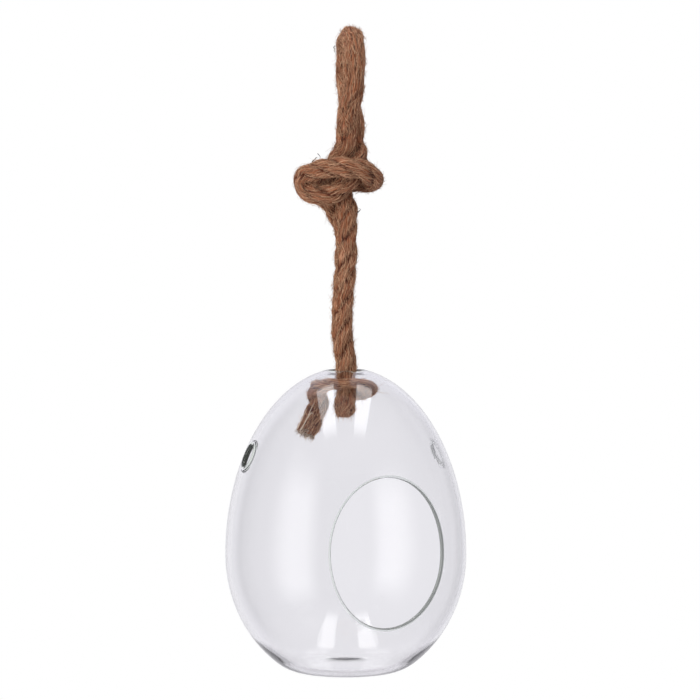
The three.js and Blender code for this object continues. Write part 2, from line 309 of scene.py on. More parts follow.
def loop_line(front_end, rear_end):
    """Half a circle over the hook, with the front side before it and the rear side after it."""
    turn = np.pi * np.linspace(0, 1, ARCH_STEPS + 1)[1:-1]
    front_x, rear_x = LOOP_SIDE_OFFSETS
    over = np.stack([
        front_x + (rear_x - front_x) * ease((turn / np.pi - ARCH_SHIFT[0]) / ARCH_SHIFT[1]),
        -LOOP_RADIUS * np.cos(turn),
        ROPE_DIAMETER / 2 - LOOP_RADIUS + LOOP_RADIUS * np.sin(turn),
    ], axis=1)
    front = loop_side(front_end, front_x, -LOOP_RADIUS)[::-1]
    return np.vstack([front, over, loop_side(rear_end, rear_x, LOOP_RADIUS)])


def leg_line(top_x, y):
    """Points of a leg between the knots, from the top: straight leads, and a slight bow sideways."""
    top = knot_end - LEG_GAP
    bottom = strand_top + LEG_GAP
    bowed = [[LEG_BOW, y, top + (bottom - top) * share] for share in LEG_BOW_SPAN]
    return np.array([[top_x, y, top - LEG_WIDTH], *bowed, [0, y, bottom + LEG_WIDTH]])


def smooth_line(points):
    """Centripetal Catmull-Rom curve through the points: even stations, and the length at each point."""
    held = np.vstack([2 * points[0] - points[1], points, 2 * points[-1] - points[-2]])
    gap = np.sqrt(np.linalg.norm(np.diff(held, axis=0), axis=1))[:, None]
    p0, p1, p2, p3 = held[:-3], held[1:-2], held[2:-1], held[3:]
    d0, d1, d2 = gap[:-2], gap[1:-1], gap[2:]
    leave = ((p1 - p0) / d0 - (p2 - p0) / (d0 + d1) + (p2 - p1) / d1) * d1
    reach = ((p2 - p1) / d1 - (p3 - p1) / (d1 + d2) + (p3 - p2) / d2) * d1
    u = np.linspace(0, 1, SAMPLES, endpoint=False)[:, None, None]
    fine = (2 * u**3 - 3 * u**2 + 1) * p1 + (u**3 - 2 * u**2 + u) * leave
    fine = fine + (3 * u**2 - 2 * u**3) * p2 + (u**3 - u**2) * reach
    fine = np.vstack([fine.transpose(1, 0, 2).reshape(-1, 3), points[-1]])
    length = np.concatenate([[0], np.cumsum(np.linalg.norm(np.diff(fine, axis=0), axis=1))])
    even = np.linspace(0, length[-1], round(length[-1] / STATION) + 1)
    stations = np.stack([np.interp(even, length, fine[:, k]) for k in range(3)], axis=1)
    return stations, even, length[::SAMPLES]


def carried_frames(line):
    """Tangents, and two normals carried along without twisting: any normals first, each then turned back
    by the running sum of the angles by which they part from the ones before."""
    tangent = unit(np.gradient(line, axis=0))
    square = unit(np.cross(tangent, np.eye(3)[np.argmin(np.abs(tangent), axis=1)]))
    other = np.cross(tangent, square)
    before = square[:-1] - tangent[1:] * np.sum(square[:-1] * tangent[1:], axis=1, keepdims=True)
    step = np.arctan2(np.sum(before * other[1:], axis=1), np.sum(before * square[1:], axis=1))
    angle = np.concatenate([[0], np.cumsum(step)])[:, None]
    normal = rotated(angle, square, other)
    return tangent, normal, np.cross(tangent, normal)


# One unbroken rope: short tail, front leg, core of the knot, loop, hitch, rear leg, turn and long tail
hitch = in_knot(HITCH, KNOT_HEIGHT, KNOT_ROPE)
knot_core = in_knot(KNOT_CORE, KNOT_HEIGHT, KNOT_ROPE)
front_leg = leg_line(knot_core[-1, 0], -leg_spread)
rear_leg = leg_line(hitch[-1, 0], leg_spread)
flat = LEG_DEPTH / LEG_WIDTH
# The glass presses the stopper's turn flat, most of all in front; its upper side stays where it is
BAND_FLAT = np.array([0.86, 0.76, 0.76, 0.7, 0.5, 0.46, 0.52, 0.76])
BAND = slice(1, 1 + len(BAND_FLAT))
KNOT_FULL = 1.02
stopper_turn = in_knot(STOPPER_TURN, turn_height, STOPPER_ROPE)
stopper_turn[BAND, 2] += STOPPER_ROPE / 2 * (1 - BAND_FLAT)
# For each stretch its points, its width and its depth as a share of the width
stretches = [
    (in_knot(STOPPER_CORE, turn_height, STOPPER_ROPE)[::-1], STOPPER_ROPE, 1),
    (front_leg[::-1], LEG_WIDTH, flat),
    (knot_core[:0:-1], KNOT_ROPE * KNOT_FULL, 1),
    (loop_line(knot_core[0], hitch[0]), ROPE_DIAMETER, 1),
    (hitch[1:], KNOT_ROPE * KNOT_FULL, 1),
    (rear_leg, LEG_WIDTH, flat),
    (stopper_turn, STOPPER_ROPE, 1),
]
counts = [len(points) for points, _, _ in stretches]
line, run, knots = smooth_line(np.vstack([points for points, _, _ in stretches]))
tangent, normal, binormal = carried_frames(line)
core_start, loop_start, hitch_start, rear_start, turn_start = np.cumsum(counts)[1:6]
EVENED = 21


def along_stretches(values):
    """A value for each point of the route, carried to the stations and evened by a running mean."""
    held = np.pad(np.interp(run, knots, values), EVENED // 2, mode="edge")
    return np.convolve(held, np.full(EVENED, 1 / EVENED), mode="valid")


# The tails are untwisted and wider, over their last points
SHORT_TAIL = slice(None, 3)
SHORT_TAIL_WIDE = 1.22
LONG_TAIL = slice(-4, None)
LONG_TAIL_WIDE = 1.15
tail_wide = np.ones(len(knots))
tail_wide[SHORT_TAIL] = SHORT_TAIL_WIDE
tail_wide[LONG_TAIL] = LONG_TAIL_WIDE
band = np.ones(len(knots))
band[turn_start:][BAND] = BAND_FLAT
size = along_stretches(np.repeat([diameter / ROPE_DIAMETER for _, diameter, _ in stretches], counts))
# The strands lie flat on each other as soon as they leave the upper knot, so that the neck can rise to it
pressed = np.repeat([depth for _, _, depth in stretches], counts)
NECK_FLAT = 0.9 * flat
pressed[core_start - 1:core_start + 1] = NECK_FLAT
pressed[rear_start - 2:rear_start + 1] = NECK_FLAT
squeeze = np.stack([along_stretches(tail_wide), along_stretches(pressed), along_stretches(band)], axis=1)
# Behind the upper knot the hitch swells where it isn't pressed, which closes the eye of the knot
HITCH_SWELL = 1.16
SWOLLEN = slice(18, 22)
swollen = np.ones(len(knots))
swollen[hitch_start:][SWOLLEN] = HITCH_SWELL
size = size * along_stretches(swollen)
# The short tail ends rounded, as a quarter of an ellipse
TAIL_ROUND = 5
TAIL_CLOSED = 0.93
size = size * np.sqrt(1 - TAIL_CLOSED * np.clip(1 - run / TAIL_ROUND, 0, 1) ** 2)


def station_at(height, low, high):
    """Station between two lengths along the rope where its line is nearest to a height."""
    apart = np.where((run < low) | (run > high), np.inf, np.abs(line[:, 2] - height))
    return int(np.argmin(apart))


loop_from = knots[loop_start]
loop_to = knots[hitch_start - 1]
leg_top = knot_end - LEG_GAP / 2
# Stations at which one stretch goes on as the next, in order along the rope
bounds = [
    0,
    station_at(strand_top, 0, knots[counts[0]]),
    station_at(leg_top, 0, loop_from),
    int(round(loop_from / run[1])),
    int(round(loop_to / run[1])),
    station_at(leg_top, loop_to, run[-1]),
    station_at(strand_top, knots[rear_start], knots[turn_start]),
    len(line) - 1,
]
nodes = ["stopper_core", "front_leg", "knot_core", "hanging_loop", "knot_hitch", "rear_leg", "stopper_turn"]
ends = dict(zip(nodes, zip(bounds[:-1], bounds[1:])))

# Lay of the rope: three strands of yarns round a heart, twisted back so that they run nearly along the
# rope. In the loop the lay is longer and opened, easing in over a length and from a share before the loop
LAY = 38
LOOP_LAY = 64
LOOP_EASE = 25
LOOP_EARLY = 0.4
STRANDS = 3
YARNS = 16
STRAND_REACH = 2
YARN_REACH = 2.95
YARN_RADIUS = 0.95
HEART_RADIUS = 2.6
LOOP_OPEN = 0.8
TWIST_BACK = 1.32
RING = 6
# Painted shade: creases between strands and valleys between yarns, each from a share of the full radius and
# over a share; and the eye of the upper knot, where the strands behind lie in shade
CREASE = (0.92, 0.17)
VALLEY = (0.975, 0.07)
VALLEY_DARK = 0.55
EYE_MIDDLE = (-12.4, -72.4)
EYE_REACH = (7, 3.6)
EYE_FADE = (1.2, 0.6)
EYE_DEPTH = (7, 4)
EYE_DARK = 0.9
# The fibre pattern starts this much further on with each yarn
YARN_SHIFT = 61
# The long tail turns olive grey from this far before its end, in full after so much more
OLIVE_TAIL_FROM = 24
OLIVE_TAIL_OVER = 8
# Unevenness: by how much, as a share or in radians, and over which lengths in mm
YARN_TUBES = STRANDS * (YARNS + 1)
BULK_CHANGE = (0.16, [7, 13, 23])
OFF_CHANGE = (0.06, [9, 17, 31])
STRAND_CHANGE = (0.05, [19, 41])
TURN_CHANGE = (0.16, [11, 27])
in_loop = ease((run - loop_from) / LOOP_EASE + LOOP_EARLY) * ease((loop_to - run) / LOOP_EASE + LOOP_EARLY)
lay_phase = np.cumsum(2 * np.pi * run[1] / (LAY + (LOOP_LAY - LAY) * in_loop))
twist_phase = -lay_phase * TWIST_BACK
strand_reach = STRAND_REACH - LOOP_OPEN * in_loop
yarn_reach = YARN_REACH + LOOP_OPEN * in_loop


def wander(rows, amount, lengths):
    """Slow uneven change along the rope, up to an amount either way: for each row a mean of sine waves of
    the given lengths."""
    phase = draw.uniform(0, 2 * np.pi, (len(lengths), rows, 1))
    waves = np.sin(2 * np.pi * run / np.array(lengths)[:, None, None] + phase)
    return amount * waves.mean(axis=0)


yarn_bulk = 1 + wander(YARN_TUBES, *BULK_CHANGE)
yarn_off = 1 + wander(YARN_TUBES, *OFF_CHANGE)
strand_off = 1 + wander(STRANDS, *STRAND_CHANGE)
yarn_turn = wander(YARN_TUBES, *TURN_CHANGE)
to_row = np.array([
    [math.cos(LOOP_TURN), -math.sin(LOOP_TURN), 0],
    [math.sin(LOOP_TURN), math.cos(LOOP_TURN), 0],
    [0, 0, 1],
])


def tubes(rings):
    """Closed tubes: rings of points, ordered tube, station, corner; walls between stations and two caps."""
    index = np.arange(rings.size // 3).reshape(rings.shape[:3])
    walls = quads(index).reshape(-1, 4)
    caps = np.concatenate([index[:, 0, ::-1], index[:, -1]])
    return rings.reshape(-1, 3) @ to_row.T, walls.tolist() + caps.tolist()


def rope_piece(node):
    """A stretch of the rope: each yarn is a tube round a point that turns with its strand about the rope's
    line and turns back about the strand, whose heart stays at its middle; every offset is then squeezed
    where the rope is pressed flat."""
    first, last = ends[node]
    span = slice(first, last + 1)
    strand_of, place = np.divmod(np.arange(YARN_TUBES), YARNS + 1)
    laid = (place < YARNS)[:, None, None]
    turn = (lay_phase[span] + 2 * np.pi * strand_of[:, None] / STRANDS)[..., None]
    back = twist_phase[span] + 2 * np.pi * (place / YARNS)[:, None]
    back = (back + strand_of[:, None] + yarn_turn[:, span])[..., None]
    out = rotated(turn, normal[span], binormal[span])
    across = rotated(turn, binormal[span], -normal[span])
    strand = (strand_reach * strand_off[strand_of])[:, span, None] * out
    inside = laid * (yarn_reach * yarn_off)[:, span, None] * rotated(back, out, across)
    corner = 2 * np.pi * np.arange(RING)[:, None] / RING
    circle = rotated(corner, normal[span][:, None], binormal[span][:, None])
    thick = np.where(laid, YARN_RADIUS * yarn_bulk[:, span, None], HEART_RADIUS)
    offset = (strand + inside)[:, :, None] + thick[..., None] * circle
    rings = line[span][:, None] + offset * size[span, None, None] * squeeze[span][:, None]
    # Painted shade: darker deep inside the rope, in the valleys between yarns and in the eye of the upper
    # knot
    from_rope = np.linalg.norm(offset, axis=-1) / (ROPE_DIAMETER / 2)
    full = (yarn_reach + YARN_RADIUS)[span, None]
    from_strand = np.linalg.norm(offset - strand[:, :, None], axis=-1) / full
    valley = VALLEY_DARK * ease((VALLEY[0] - from_strand) / VALLEY[1])
    x, y, z = (rings[..., k] for k in range(3))
    from_eye = np.hypot((x - EYE_MIDDLE[0]) / EYE_REACH[0], (z - EYE_MIDDLE[1]) / EYE_REACH[1])
    shade = EYE_DARK * ease((EYE_FADE[0] - from_eye) / EYE_FADE[1])
    shade = shade * ease((y + EYE_DEPTH[0]) / EYE_DEPTH[1])
    deep = np.maximum(np.maximum(ease((CREASE[0] - from_rope) / CREASE[1]), valley), shade)
    along = run[span] + YARN_SHIFT * np.arange(len(place))[:, None]
    along = np.broadcast_to(along[..., None], deep.shape)
    around = YARN_RADIUS * np.stack([np.cos(corner), np.sin(corner)], -1)[:, 0]
    around = np.broadcast_to(around, (*deep.shape, 2))
    fibre = np.concatenate([along[..., None], around], axis=-1) * MM
    worn = np.broadcast_to(ease((run[span] - run[-1] + OLIVE_TAIL_FROM) / OLIVE_TAIL_OVER)[:, None], deep.shape)
    points, faces = tubes(rings)
    made = make_piece("jute_" + node, points, faces, JUTE, "jute_rope", fibre=fibre.reshape(-1, 3),
                      deep=deep.ravel(), worn=worn.ravel())
    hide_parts(node)
    return made


def along_rope(lengths, values):
    """Values of the stations at any lengths along the rope."""
    return np.stack([np.interp(lengths, run, values[:, k]) for k in range(values.shape[1])], axis=-1)


# Fibres are drawn 0.12 to 0.55 mm thick and single bundles up to 1 mm, several times coarser than real
# ones, so that they show. Their slant and their place round the strand are in radians
FIBRE_POINTS = 5
FIBRE_SIDES = 3
FIBRE_TIP = 0.4
ASKEW = np.array([0.31, 0.52, 0.79])
SLANT = 0.3
STRAND_FACE = 1.7
LEAST_LIFT = 0.2
LIFT_POWER = 1.7
ON_YARN = (0.8, 1.04)


def fibre_tubes(name, lines, thick, material):
    """Thin three-sided tubes that taper along rows of points, each with its own thickness and tone."""
    way = unit(np.gradient(lines, axis=1))
    side = unit(np.cross(way, ASKEW))
    other = np.cross(way, side)
    corner = 2 * np.pi * np.arange(FIBRE_SIDES)[:, None] / FIBRE_SIDES
    circle = rotated(corner, side[:, :, None], other[:, :, None])
    taper = np.linspace(1, FIBRE_TIP, lines.shape[1])[:, None, None]
    radius = draw.uniform(*thick, (len(lines), 1, 1, 1)) / 2 * taper
    points, faces = tubes(lines[:, :, None] + radius * circle)
    own = np.repeat(draw.uniform(0, 1, len(lines)), lines.shape[1] * FIBRE_SIDES)
    return make_piece(name, points, faces, material, "jute_rope", own=own)


def stray_lines(node, count, length, lift):
    """Loose fibres: each runs with the yarns over the outside of a strand, a little slanted, and lifts off
    as a power of its own length."""
    low, high = run[list(ends[node])]
    start = draw.uniform(low, high, (count, 1))
    reach = np.minimum(draw.uniform(*length, (count, 1)), (high - low) / 2)
    either = draw.choice([-1, 1], (count, 1))
    way = np.where(start + reach > high, -1, np.where(start - reach < low, 1, either))
    slant = draw.normal(0, SLANT, (count, 1))
    part = np.linspace(0, 1, FIBRE_POINTS)
    along = start + way * reach * part * np.cos(slant)
    turn = np.interp(along, run, lay_phase) + 2 * np.pi * draw.integers(0, STRANDS, (count, 1)) / STRANDS
    back = draw.uniform(-STRAND_FACE, STRAND_FACE, (count, 1))
    back = back + reach * (part - 0.5) * np.sin(slant) / (YARN_REACH + YARN_RADIUS)
    back = back + np.interp(along, run, twist_phase) - np.interp(start + way * reach / 2, run, twist_phase)
    rise = draw.uniform(LEAST_LIFT, 1, (count, 1)) * lift * part**LIFT_POWER
    wide = np.interp(along, run, yarn_reach) + YARN_RADIUS * draw.uniform(*ON_YARN, (count, 1)) + rise
    turn, back, wide = (values[..., None] for values in (turn, back, wide))
    out = rotated(turn, along_rope(along, normal), along_rope(along, binormal))
    across = rotated(turn, along_rope(along, binormal), -along_rope(along, normal))
    middle = np.interp(along, run, strand_reach)[..., None] * out
    offset = middle + wide * rotated(back, out, across)
    offset = offset * np.interp(along, run, size)[..., None] * along_rope(along, squeeze)
    return along_rope(along, line) + offset


# Cut ends: depth of the roots, shares of the end that they fill, and how they spread
ROOT_DEPTH = 2
CUT_FILL = (0.02, 0.9)
CUT_STRAY = 0.25
CUT_FLARE = 0.35


def cut_end(station, way, count, length):
    """A cut end: fibres rooted a little inside the last ring, which they fill. They stand out of it and
    spread as the square of their length, partly at random and partly outward."""
    turn = draw.uniform(0, 2 * np.pi, (count, 1, 1))
    out = rotated(turn, normal[station], binormal[station])
    wide = STOPPER_ROPE / 2 * np.sqrt(draw.uniform(*CUT_FILL, (count, 1, 1)))
    part = np.linspace(0, 1, FIBRE_POINTS)[:, None]
    reach = draw.uniform(*length, (count, 1, 1))
    aside = draw.normal(0, CUT_STRAY, (count, 1, 3)) + CUT_FLARE * out * wide / STOPPER_ROPE
    forward = way * tangent[station] * (reach * part - ROOT_DEPTH)
    return line[station] + out * wide + forward + aside * reach * part**2


# Fibres to each millimetre of rope, and for each sort their lengths and how far they lift off
SURFACE_FIBRES = 16
LOBE_FIBRES = 30
HALO_FIBRES = 14
FLYAWAY_FIBRES = 0.5
LYING = ((2.5, 7), 0.25)
HALO = ((2, 5.5), 2)
FLYAWAY = ((4, 9), 3.4)
LYING_THICK = (0.2, 0.55)
LOOSE_THICK = (0.12, 0.26)
pieces = {}
for node, (first, last) in ends.items():
    reach = run[last] - run[first]
    laid = rope_piece(node)
    dense = LOBE_FIBRES if node == "stopper_core" else SURFACE_FIBRES
    lying = stray_lines(node, round(dense * reach), *LYING)
    lying = fibre_tubes("fibres_on_" + node, lying, LYING_THICK, LOOSE)
    halo = stray_lines(node, round(HALO_FIBRES * reach), *HALO)
    flying = stray_lines(node, round(FLYAWAY_FIBRES * reach), *FLYAWAY)
    standing = np.concatenate([halo, flying])
    standing = fibre_tubes("loose_fibres_on_" + node, standing, LOOSE_THICK, LOOSE)
    pieces[node] = [laid, lying, standing]

# Cut ends: the station of each, the way it faces along the rope, its fibres and their lengths
SHORT_CUT = (3, -1, 260, (2.6, 4.2))
LONG_CUT = (len(line) - 1, 1, 420, (2.2, 4.2))
SHORT_CUT_THICK = (0.2, 0.36)
LONG_CUT_THICK = (0.2, 0.4)
short_cut = fibre_tubes("cut_end_middle", cut_end(*SHORT_CUT), SHORT_CUT_THICK, LOOSE)
# Single fibres that the photograph shows, as points in mm in the rope's frame
STRAY_FIBRES = np.array([
    [[14, -6, -2], [16, -6.5, -2.6], [18.5, -7, -2], [20.5, -7, -0.6], [22, -7, 1.2]],
    [[14, -6, -2.4], [15.6, -6.5, -4], [17.6, -7, -5.2], [20, -7.4, -5.8], [23.5, -7.4, -5.9]],
    [[14.5, -5, -3], [15.2, -5, -4], [15.6, -5, -5], [16.2, -5, -5.8], [17, -5, -6.4]],
    [[8.6, -12, -8.4], [8.7, -12.2, -9.6], [8.9, -12.3, -10.8], [9.2, -12.4, -11.6], [9.8, -12.4, -12.2]],
]) + np.array([0, 0, strand_top])
DARK_FIBRES = np.array([
    [[-6, -7, 0.6], [-6.7, -7, -0.4], [-5.9, -7, -1.2], [-6.4, -7, -2], [-5.6, -7, -3.2]],
    [[-18.4, -9, -63], [-17.8, -9, -62], [-17, -9, -61.6], [-16.4, -9, -60.6], [-15.6, -9, -60.2]],
    [[-15.4, -9, -58.2], [-15, -9, -58.6], [-14.6, -9, -59], [-14.2, -9, -59.5], [-13.8, -9, -60.4]],
    [[8.4, -12, -60.4], [9, -12, -59.8], [9.4, -12, -59], [9.9, -12, -58.6], [10.2, -12, -57.8]],
    [[5.8, -7, -90.7], [6.8, -8, -90.2], [7.6, -8, -89.3], [8.1, -8, -88.7], [7.3, -8, -88.2]],
])
PALE_RIBBONS = np.array([
    [[-25, -2.7, -210.4], [-22.8, -2.9, -206.8], [-20.6, -2.9, -202.4], [-19, -2.7, -198.6],
     [-17.2, -2.5, -195]],
    [[-20.8, -2.9, -203.4], [-20, -3.1, -201.8], [-19, -3.1, -200.8], [-18.4, -2.9, -200.6],
     [-17.6, -2.7, -201.6]],
    [[-26.6, -2.3, -209.6], [-25.4, -2.5, -207], [-24.2, -2.7, -204], [-22.6, -2.7, -201],
     [-21.4, -2.5, -198.6]],
])
DARK_THICK = (0.55, 0.85)
RIBBON_THICK = (0.6, 1)
STRAY_THICK = (0.2, 0.26)
dark = fibre_tubes("dark_fibres", DARK_FIBRES, DARK_THICK, DARK)
ribbons = fibre_tubes("pale_ribbons", PALE_RIBBONS, RIBBON_THICK, BLEACHED)
stray = fibre_tubes("loose_fibres_right", STRAY_FIBRES, STRAY_THICK, LOOSE)
long_cut = fibre_tubes("cut_end_left", cut_end(*LONG_CUT), LONG_CUT_THICK, CUT)

# The loop, the upper knot and the legs keep their places as made; the stopper's pieces go with the stopper
# knot's body, and the dark fibres with the upper knot's
for made in pieces["hanging_loop"]:
    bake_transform(made)
for made in pieces["knot_hitch"] + pieces["knot_core"]:
    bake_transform(made)
for made in pieces["front_leg"] + pieces["rear_leg"]:
    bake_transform(made)
for made in pieces["stopper_turn"] + pieces["stopper_core"] + [short_cut, long_cut, stray, ribbons]:
    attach(made, "stopper_knot")
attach(dark, "upper_knot")
for node, wide in (("hanging_loop", ROPE_DIAMETER), ("front_leg", LEG_WIDTH), ("rear_leg", LEG_WIDTH)):
    first, last = ends[node]
    laid, *fibres = pieces[node]

# Glass vessel
GLASS_RADIUS = 66.5
SHOULDER_HEIGHT = 103
BASE_DEPTH = 65
BELLY_DEPTH = 73
BASE_EDGE = 5.5
WALL = 2.4
# The glass is thicker low down, from this far under its widest level and in full after so much more
LOW_SWELL = 0.7
SWELL_FROM = 45
SWELL_OVER = 19
MOUND_RISE = -0.5
MOUND_RADIUS = 15.5
LIP_RADIUS = 11.2
OPENING_WIDTH = 65
OPENING_HEIGHT = 81.5
OPENING_RISE = 6
VENT_DIAMETER = 13
VENT_RISE = 55.5
VENT_TURN = math.radians(-6.5)
# Windows in the grid round the holes: half their angle, and how far they reach up and down
OPENING_WINDOW = (math.radians(40), 51)
VENT_WINDOW = (math.radians(15), 15)
# The vents' edges are thickened, over the last share of the way to the hole
VENT_SWELL = 0.6
SWELL_SHARE = 0.2
UPPER_SAMPLES = 900
LOWER_SAMPLES = 700
BASE_SAMPLES = 160
POLE_GAP = 1.2
COLUMNS = 400
LEVELS = 104
PATCH_RINGS = 9
BEAD_STEPS = 8
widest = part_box("glass_vessel")[0][2] / MM + BASE_DEPTH


def egg_profile():
    """Radius and height of the outside from lip to base: half an ellipse, part of a lower one, a rounded
    edge as a quadratic curve that leaves along the ellipse, and the flat of the base."""
    upper = np.linspace(np.arcsin(LIP_RADIUS / GLASS_RADIUS), np.pi / 2, UPPER_SAMPLES)
    lower = np.linspace(0, np.arcsin((BASE_DEPTH - BASE_EDGE) / BELLY_DEPTH), LOWER_SAMPLES)[1:]
    start = np.array([GLASS_RADIUS * np.cos(lower[-1]), -BELLY_DEPTH * np.sin(lower[-1])])
    leave = np.array([-GLASS_RADIUS * np.sin(lower[-1]), -BELLY_DEPTH * np.cos(lower[-1])])
    corner = start + leave * BASE_EDGE / -leave[1]
    end = corner - np.array([np.linalg.norm(corner - start), 0])
    t = np.linspace(0, 1, BASE_SAMPLES)[1:, None]
    edge = (1 - t) ** 2 * start + 2 * t * (1 - t) * corner + t**2 * end
    inward = np.linspace(1, 0, BASE_SAMPLES)[1:, None]
    base = end * np.array([1, 0]) * inward + np.array([0, end[1]])
    return np.vstack([
        np.stack([GLASS_RADIUS * np.sin(upper), SHOULDER_HEIGHT * np.cos(upper)], axis=1),
        np.stack([GLASS_RADIUS * np.cos(lower), -BELLY_DEPTH * np.sin(lower)], axis=1),
        edge,
        base,
    ])


profile = egg_profile()
depth = np.concatenate([[0], np.cumsum(np.linalg.norm(np.diff(profile, axis=0), axis=1))])
slope = unit(np.gradient(profile, axis=0))
outward = np.stack([-slope[:, 1], slope[:, 0]], axis=1)
thickness = WALL + LOW_SWELL * ease((-profile[:, 1] - SWELL_FROM) / SWELL_OVER)
thickness = thickness + MOUND_RISE * ease(1 - profile[:, 0] / MOUND_RADIUS) * (profile[:, 1] < 0)


def wall_points(angle, level, inside, swell=0):
    """Points of the wall at an angle from the front and a length down the profile, on its outside or, less
    the thickness along the outward normal, on its inside; swell thickens both ways."""
    radius, height = (np.interp(level, depth, profile[:, k]) for k in range(2))
    out_r, out_z = (np.interp(level, depth, outward[:, k]) for k in range(2))
    step = swell / 2 - inside * (np.interp(level, depth, thickness) + swell)
    radius = radius + step * out_r
    height = height + step * out_z
    return np.stack([radius * np.sin(angle), -radius * np.cos(angle), widest + height], axis=-1)


def level_of(height):
    """Length down the profile at a height above the widest level."""
    return np.interp(-height, -profile[:, 1], depth)


def glass_vessel():
    """Outer and inner walls on one grid of angle and level. Each hole takes a window out of the grid, which
    rings fill again from the window's edge to the hole's; half-round beads close all edges."""
    blocks = []
    faces = []
    edges = []
    opening_rim_faces = []
    right_vent_rim_faces = []

    def put(points):
        """Keeps points and gives their numbers, in the same order."""
        start = sum(len(block) for block in blocks)
        blocks.append(points.reshape(-1, 3))
        return start + np.arange(points.size // 3).reshape(points.shape[:-1])

    def bead(outer, inner, centre):
        """Half-round edge: half a circle from outer to inner edge, bulging into the hole."""
        middle = (outer + inner) / 2
        radius = np.linalg.norm(outer - inner, axis=1, keepdims=True) / 2
        square = (outer - inner) / (2 * radius)
        run_round = np.roll(middle, -1, 0) - np.roll(middle, 1, 0)
        into = unit(np.cross(run_round, square))
        into = into * np.sign(np.sum(into * (centre - middle), axis=1, keepdims=True))
        turn = np.pi * np.linspace(0, 1, BEAD_STEPS + 1)[1:-1, None, None]
        return middle + radius * rotated(turn, square, into)

    angle = -np.pi + 2 * np.pi * np.arange(COLUMNS) / COLUMNS
    level = np.linspace(0, depth[-1] - POLE_GAP, LEVELS)
    grid_angle, grid_level = np.meshgrid(angle, level)
    walls = [put(wall_points(grid_angle, grid_level, inside)) for inside in (0, 1)]

    vent_level = level_of(VENT_RISE)
    vent_radius = VENT_DIAMETER / 2 + WALL / 2
    wide = (OPENING_WIDTH + WALL) / 2
    high = (OPENING_HEIGHT + WALL) / 2

    def opening_edge(turn):
        """Angle and level of the opening's edge: an ellipse as seen from the front, laid on the wall."""
        height = OPENING_RISE + high * np.sin(turn)
        edge_level = level_of(height)
        radius = np.interp(edge_level, depth, profile[:, 0])
        return np.arcsin(wide * np.cos(turn) / radius), edge_level

    def vent_edge(turn, side):
        """Angle and level of a vent's edge: a circle laid on the wall."""
        edge_level = vent_level - vent_radius * np.sin(turn)
        radius = np.interp(edge_level, depth, profile[:, 0])
        return side * np.pi / 2 + VENT_TURN + np.arcsin(vent_radius * np.cos(turn) / radius), edge_level

    # The opening's rim and the right vent's rim take the paler glass of painted light; the left vent's rim
    # and the lip the fire-polished edge
    half, reach = OPENING_WINDOW
    ends_at = (level_of(OPENING_RISE + reach), level_of(OPENING_RISE - reach))
    holes = [(0, half, *ends_at, opening_edge, 0, opening_rim_faces)]
    half, reach = VENT_WINDOW
    for side, sort in ((-1, edges), (1, right_vent_rim_faces)):
        middle = VENT_TURN + side * np.pi / 2
        holes.append((middle, half, vent_level - reach, vent_level + reach,
                      lambda turn, side=side: vent_edge(turn, side), VENT_SWELL, sort))
    keep = np.ones((LEVELS - 1, COLUMNS), bool)
    for middle, half, top, bottom, edge, swell, sort in holes:
        left = int(np.argmin(np.abs(angle - middle + half)))
        right = int(np.argmin(np.abs(angle - middle - half)))
        upper = int(np.argmin(np.abs(level - top)))
        lower = int(np.argmin(np.abs(level - bottom)))
        keep[upper:lower, left:right] = False
        rows = np.concatenate([
            np.full(right - left, upper), np.arange(upper, lower),
            np.full(right - left, lower), np.arange(lower, upper, -1),
        ])
        columns = np.concatenate([
            np.arange(left, right), np.full(lower - upper, right),
            np.arange(right, left, -1), np.full(lower - upper, left),
        ])
        aside = (angle[columns] - middle) / half
        up = (level[rows] - (level[upper] + level[lower]) / 2) / (level[upper] - level[lower]) * 2
        edge_angle, edge_level = edge(np.arctan2(up, aside))
        share = np.sin(np.linspace(0, np.pi / 2, PATCH_RINGS + 1))[1:, None]
        ring_angle = angle[columns] + (edge_angle - angle[columns]) * share
        ring_level = level[rows] + (edge_level - level[rows]) * share
        thick = swell * ease((share - 1 + SWELL_SHARE) / SWELL_SHARE)
        rims = []
        for side, wall in enumerate(walls):
            points = wall_points(ring_angle, ring_level, side, thick)
            rings = np.vstack([wall[rows, columns], put(points)])
            faces.extend(quads(rings).reshape(-1, 4).tolist())
            rims.append((points[-1], rings[-1]))
        centre = wall_points(np.array(middle), np.mean([edge_level.min(), edge_level.max()]), 0.5)
        round_edge = put(bead(rims[0][0], rims[1][0], centre))
        chain = np.vstack([rims[0][1], round_edge, rims[1][1]])
        sort.extend(quads(chain).reshape(-1, 4).tolist())

    for wall in walls:
        faces.extend(quads(wall)[keep].tolist())
    for side, wall in enumerate(walls):
        centre = put(wall_points(np.zeros(1), np.full(1, depth[-1]), side))
        fan = np.stack([wall[-1], np.roll(wall[-1], -1), np.full(COLUMNS, centre[0])], axis=-1)
        faces.extend(fan.tolist())
    lip = [wall_points(angle, np.zeros(COLUMNS), side) for side in (0, 1)]
    round_lip = put(bead(lip[0], lip[1], np.array([0, 0, widest + profile[0, 1]])))
    chain = np.vstack([walls[0][0], round_lip, walls[1][0]])
    edges.extend(quads(chain).reshape(-1, 4).tolist())

